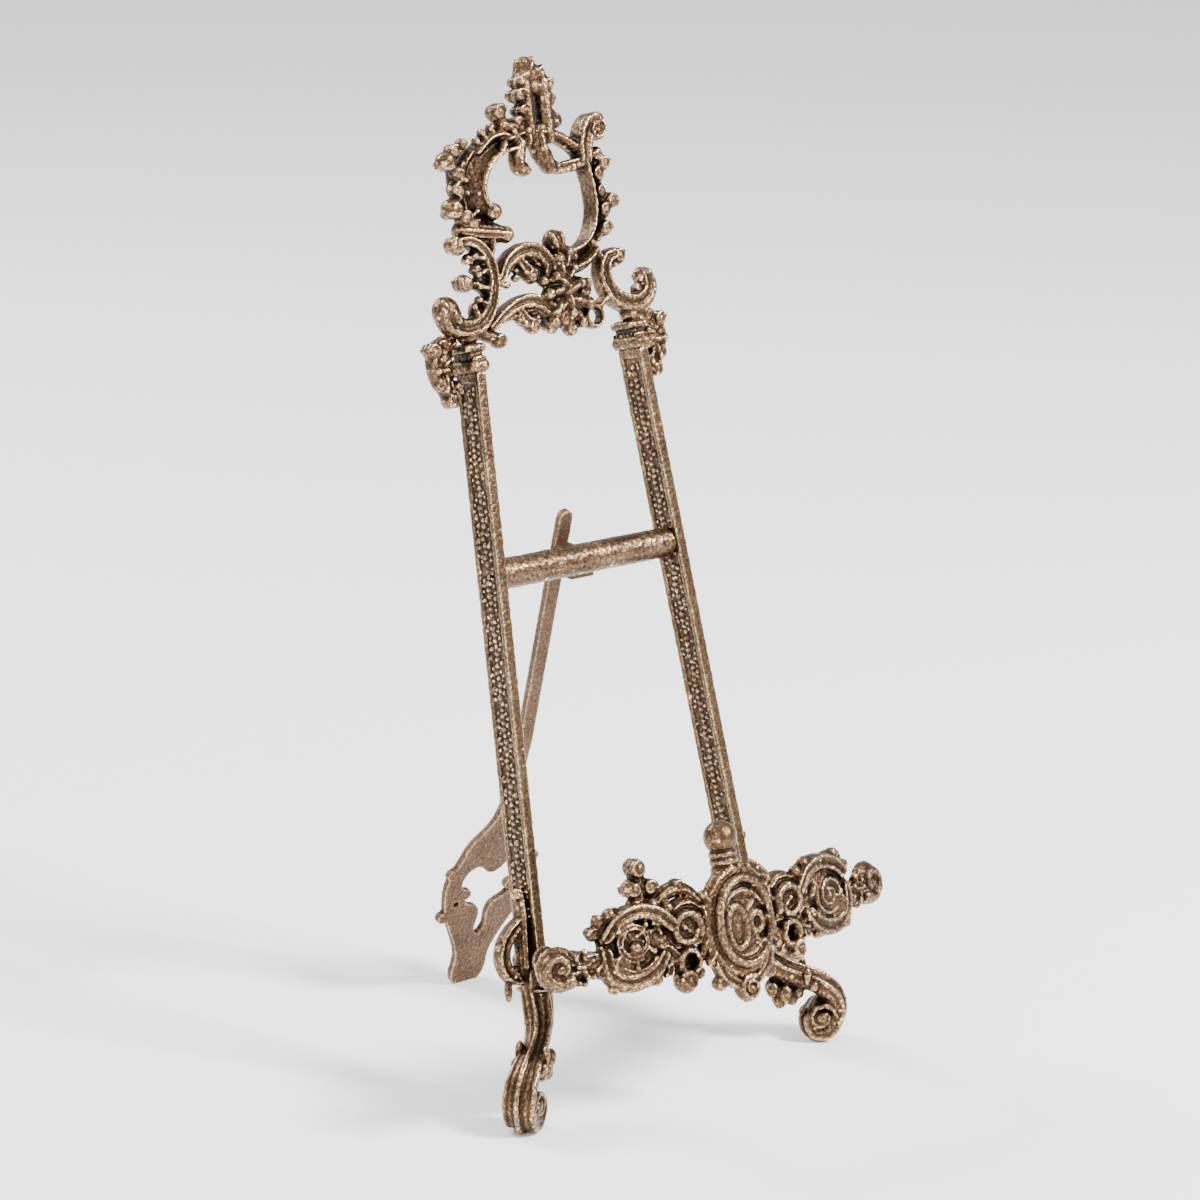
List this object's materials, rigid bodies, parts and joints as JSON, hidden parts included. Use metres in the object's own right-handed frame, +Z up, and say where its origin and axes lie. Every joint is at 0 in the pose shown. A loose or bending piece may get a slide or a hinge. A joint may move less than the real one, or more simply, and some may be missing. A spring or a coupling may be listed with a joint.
{
  "type": "tabletop display easel",
  "caption": "Ornate cast-brass tabletop easel: two leaning uprights under a scroll crest, a picture ledge on arms, scroll feet and a hinged rear leg.",
  "frame": {"origin": "on the table plane, at the middle of the footprint's bounding box", "axes": "+Z up; -Y is the front, where the picture faces; +X is to the right of someone who looks at the front"},
  "size_m": [0.1504, 0.1548, 0.3286],
  "materials": {
    "bar_brass": "antique brass, worn bright on its edges, brown in the recesses",
    "cast_brass": "sand-cast antique brass with a dark brown patina and rubbed high spots",
    "polished_brass": "smooth antique brass, softly polished",
    "leg_brass": "dull antique brass, lightly cast-textured",
    "screw_steel": "dark brass fasteners"
  },
  "bodies": {
    "frame": {"left_upright": "bar_brass", "right_upright": "bar_brass", "left_capital": "cast_brass", "right_capital": "cast_brass", "crossbar": "bar_brass", "crest_cartouche": "cast_brass", "crest_finial": "cast_brass", "crest_left_scroll": "cast_brass", "crest_right_scroll": "cast_brass", "crest_foliage": "cast_brass", "left_leaf_drop": "cast_brass", "right_leaf_drop": "cast_brass", "left_ear_scroll": "cast_brass", "right_ear_scroll": "cast_brass", "left_ledge_arm": "cast_brass", "right_ledge_arm": "cast_brass", "ledge_rail": "cast_brass", "left_ledge_scrolls": "cast_brass", "right_ledge_scrolls": "cast_brass", "left_ledge_finial": "cast_brass", "medallion": "cast_brass", "ball_finial": "polished_brass", "medallion_rosette": "cast_brass", "crossbar_screws": "screw_steel", "arm_screws": "screw_steel", "left_front_foot": "cast_brass", "right_front_foot": "cast_brass", "hinge_lug": "leg_brass", "hinge_pin": "screw_steel"},
    "rear_leg": {"rear_leg": "leg_brass", "rear_foot": "leg_brass", "rear_foot_rivets": "screw_steel"}
  },
  "joints": [
    {"name": "rear_leg_fold", "type": "hinge", "parent": "frame", "child": "rear_leg", "pos_m": [0, 0.02652, 0.165], "axis": [1, 0, 0], "range_deg": [-29, 0]}
  ]
}
